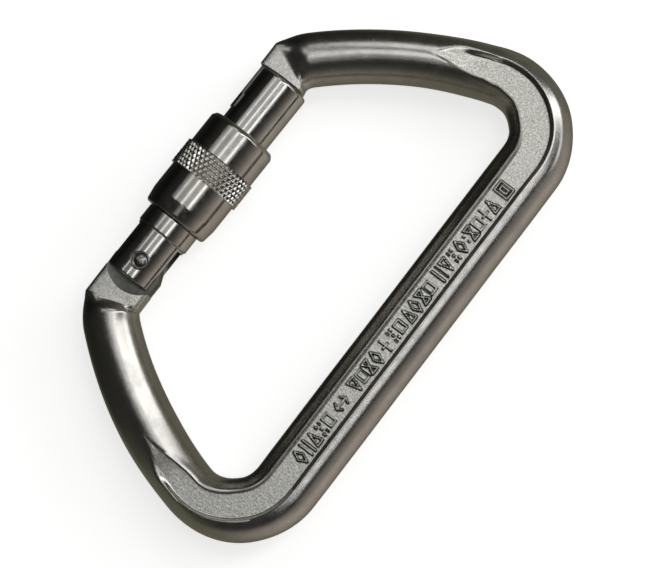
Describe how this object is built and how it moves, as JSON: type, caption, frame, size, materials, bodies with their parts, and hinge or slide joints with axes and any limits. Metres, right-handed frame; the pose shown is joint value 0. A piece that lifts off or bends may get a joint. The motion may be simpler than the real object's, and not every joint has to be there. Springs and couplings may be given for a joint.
{
  "type": "locking carabiner",
  "caption": "Large forged steel D-shaped locking carabiner with a recessed spine, a sprung inward-opening gate and a knurled screw sleeve.",
  "frame": {"origin": "centre of the bounding box, in the middle plane of the D", "axes": "+Y along the straight spine towards the nose end, +X from the gate towards the spine, +Z through the thickness"},
  "size_m": [0.0768, 0.1366, 0.0188],
  "materials": {
    "forged_steel": "satin plated forging, shot-blasted in the web",
    "turned_steel": "turned and polished",
    "sleeve_steel": "turned, polished, knurled band",
    "rivet_steel": "polished dome",
    "spring_steel": "drawn wire"
  },
  "bodies": {
    "frame": {"forged_body": "forged_steel"},
    "gate": {"gate_barrel": "turned_steel", "hinge_rivet": "rivet_steel", "return_spring": "spring_steel", "sleeve_stop_collar": "sleeve_steel"},
    "plunger": {"spring_plunger": "turned_steel"},
    "sleeve_ring": {"sleeve_retaining_ring": "spring_steel"},
    "sleeve": {"locking_sleeve": "sleeve_steel"}
  },
  "joints": [
    {"name": "gate_hinge", "type": "hinge", "parent": "frame", "child": "gate", "pos_m": [-0.02888, -0.02565, 0], "axis": [0, 0, -1], "range_deg": [0, 36], "stiffness_Nm_per_rad": 0.6, "springref_deg": -34.38},
    {"name": "plunger_slide", "type": "slide", "parent": "gate", "child": "plunger", "axis": [0.0192, 0.9998, 0], "range_m": [0, 0.00181], "deforming": ["return_spring"]},
    {"name": "sleeve_travel", "type": "slide", "parent": "gate", "child": "sleeve_ring", "axis": [0.0192, 0.9998, 0], "range_m": [0, 0.012]},
    {"name": "sleeve_spin", "type": "hinge", "parent": "sleeve_ring", "child": "sleeve", "pos_m": [-0.02938, -0.02564, 0], "axis": [0.0192, 0.9998, 0], "range_deg": [0, 1441]}
  ],
  "couplings": [
    {"joint": "plunger_slide", "follows": "gate_hinge", "m_per_rad": 0.002865},
    {"joint": "sleeve_spin", "follows": "sleeve_travel", "rad_per_m": 2094.4}
  ]
}
